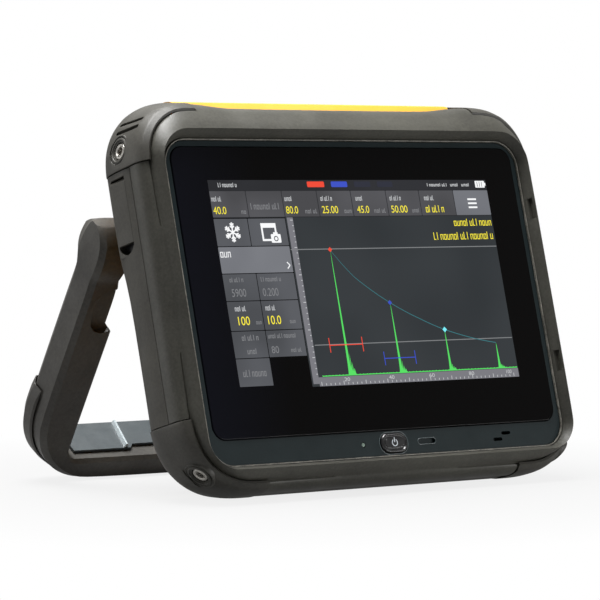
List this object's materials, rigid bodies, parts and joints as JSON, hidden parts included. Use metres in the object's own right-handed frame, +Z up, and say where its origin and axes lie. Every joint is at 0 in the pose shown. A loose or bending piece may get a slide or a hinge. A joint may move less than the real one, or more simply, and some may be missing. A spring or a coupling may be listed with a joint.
{
  "type": "ultrasonic flaw detector",
  "caption": "Hand-carried ultrasonic flaw detector: a touch screen in a rubber-guarded body that stands on a U-shaped tilt handle.",
  "frame": {"origin": "middle of the bounding box's bottom, on the surface that the instrument stands on", "axes": "+Z up, the screen faces -Y and leans back by 15 degrees, +X to the right as seen from the front"},
  "size_m": [0.2158, 0.1574, 0.1665],
  "materials": {
    "bezel_rubber": "satin",
    "guard_rubber": "matte",
    "band_rubber": "matte",
    "yellow_plastic": "satin",
    "panel_plastic": "satin",
    "black_plastic": "matte",
    "button_plastic": "gloss",
    "cover_glass": "gloss",
    "display_body": "satin",
    "can_metal": "satin",
    "cast_metal": "matte",
    "steel": "satin",
    "nickel": "nickel plated",
    "board_green": "satin",
    "battery_shell": "matte",
    "handle_rubber": "matte",
    "insert_grey": "satin",
    "acetal": "satin",
    "light_plastic": "gloss"
  },
  "bodies": {
    "case": {"front_bumper": "bezel_rubber", "corner_guard_top_left": "guard_rubber", "corner_guard_top_right": "guard_rubber", "corner_guard_bottom_left": "guard_rubber", "corner_guard_bottom_right": "guard_rubber", "thread_insert_top_left": "steel", "thread_insert_top_right": "steel", "thread_insert_bottom_left": "steel", "thread_insert_bottom_right": "steel", "side_band_left": "band_rubber", "side_band_right": "band_rubber", "bottom_band": "band_rubber", "rear_housing": "yellow_plastic", "door_hinge_pin": "steel", "port_block": "black_plastic", "socket_plate": "black_plastic", "probe_socket_1": "nickel", "probe_socket_2": "nickel", "front_panel": "panel_plastic", "touch_glass": "cover_glass", "display_module": "display_body", "chassis_plate": "cast_metal", "button_switch": "black_plastic", "status_light": "light_plastic", "speaker": "black_plastic", "main_board": "board_green", "pulser_board": "board_green", "pulser_can": "can_metal", "board_standoff_1": "nickel", "board_standoff_2": "nickel", "board_standoff_3": "nickel", "board_standoff_4": "nickel", "battery_tray": "black_plastic", "battery_pack": "battery_shell", "battery_cover": "black_plastic", "cover_screw_1": "steel", "cover_screw_2": "steel", "cover_screw_3": "steel", "cover_screw_4": "steel", "housing_screw_1": "steel", "housing_screw_2": "steel", "housing_screw_3": "steel", "housing_screw_4": "steel", "housing_screw_5": "steel", "housing_screw_6": "steel", "pivot_pin_left": "steel", "pivot_pin_right": "steel", "friction_washer_left": "acetal", "friction_washer_right": "acetal"},
    "handle": {"tilt_handle": "handle_rubber", "handle_insert": "insert_grey", "foot_pad_left": "guard_rubber", "foot_pad_right": "guard_rubber"},
    "button": {"power_button": "button_plastic"},
    "door": {"port_door": "band_rubber"}
  },
  "joints": [
    {"name": "handle_hinge", "type": "hinge", "parent": "case", "child": "handle", "pos_m": [0, 0.00467, 0.1046], "axis": [1, 0, 0], "range_deg": [-46.5, 133.5]},
    {"name": "button_press", "type": "slide", "parent": "case", "child": "button", "axis": [0, 0.9659, -0.2588], "range_m": [0, 0.0008], "stiffness_N_per_m": 1500},
    {"name": "port_door_hinge", "type": "hinge", "parent": "case", "child": "door", "pos_m": [-0.1052, -0.04112, 0.13654], "axis": [0, 0.9659, -0.2588], "range_deg": [0, 90]}
  ]
}
